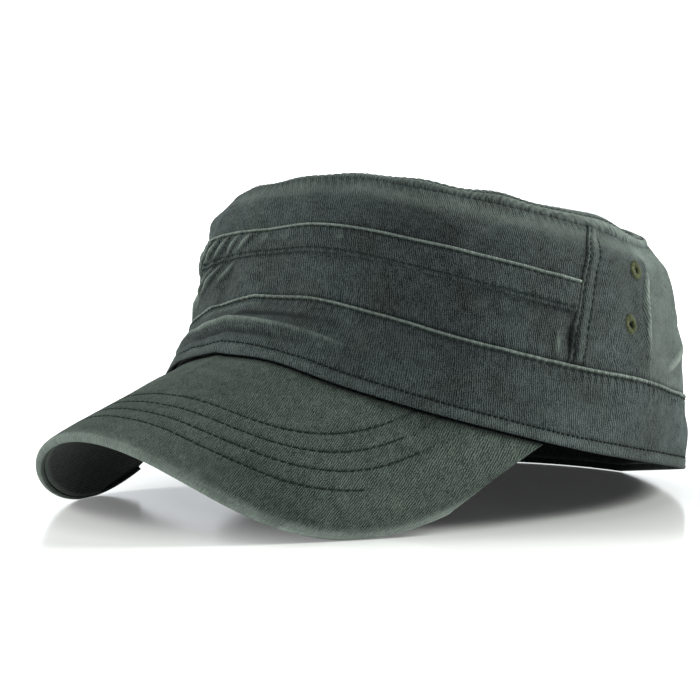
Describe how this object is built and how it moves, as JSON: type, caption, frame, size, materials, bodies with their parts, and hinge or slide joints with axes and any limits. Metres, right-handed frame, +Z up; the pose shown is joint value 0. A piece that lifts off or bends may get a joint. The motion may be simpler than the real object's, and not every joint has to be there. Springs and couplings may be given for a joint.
{
  "type": "patrol cap",
  "caption": "Soft cotton patrol cap with a flat top, a trim band, a head band and a curved stiff visor, hollow below for a head.",
  "frame": {"origin": "middle of the overall box seen from above, on the surface that the cap rests on", "axes": "+X towards the wearer's left, +Y towards the back of the cap, +Z up; the visor points along -Y"},
  "size_m": [0.1798, 0.2492, 0.1163],
  "materials": {
    "washed_twill": "washed cotton twill, grey green, faded at folds and seams",
    "trim_twill": "washed cotton twill, deep grey green",
    "band_twill": "washed cotton twill, deep grey green with pale worn edges",
    "visor_twill": "washed cotton twill, faded grey green",
    "under_twill": "dark blue grey cotton twill",
    "sweatband_twill": "dark grey cotton twill",
    "eyelet_thread": "olive sewing thread"
  },
  "bodies": {
    "root": {"crown_top": "washed_twill", "crown_side": "washed_twill", "crown_back": "washed_twill", "trim_band": "trim_twill", "head_band": "band_twill", "sweatband": "sweatband_twill", "visor_top": "visor_twill", "visor_under": "under_twill", "eyelet_left_upper": "eyelet_thread", "eyelet_left_lower": "eyelet_thread", "eyelet_right_upper": "eyelet_thread", "eyelet_right_lower": "eyelet_thread"}
  },
  "joints": []
}
